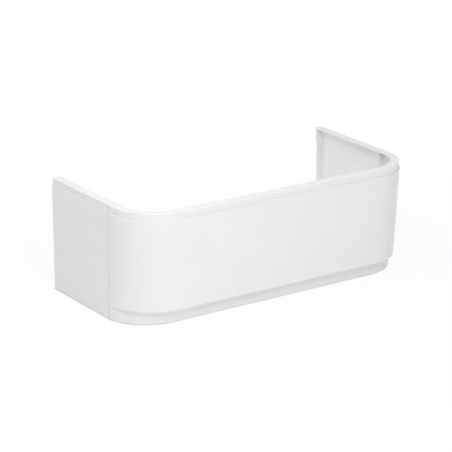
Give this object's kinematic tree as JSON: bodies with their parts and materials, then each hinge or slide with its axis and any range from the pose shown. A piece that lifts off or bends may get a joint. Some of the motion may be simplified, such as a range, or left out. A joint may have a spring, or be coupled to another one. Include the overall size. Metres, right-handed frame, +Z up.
{
  "type": "bath panel",
  "caption": "White acrylic bath panel that wraps the front and ends of a bath: raked front, rounded corners, toe recess and a stepped top edge that tucks up behind the rim.",
  "frame": {"origin": "on the floor, at the middle of the panel's length and depth", "axes": "+X along the bath, +Y towards the wall, the front faces -Y, +Z up"},
  "size_m": [1.7, 0.8298, 0.59],
  "materials": {
    "acrylic": "gloss white"
  },
  "bodies": {
    "root": {"front_panel": "acrylic", "left_end_panel": "acrylic", "right_end_panel": "acrylic"}
  },
  "joints": []
}
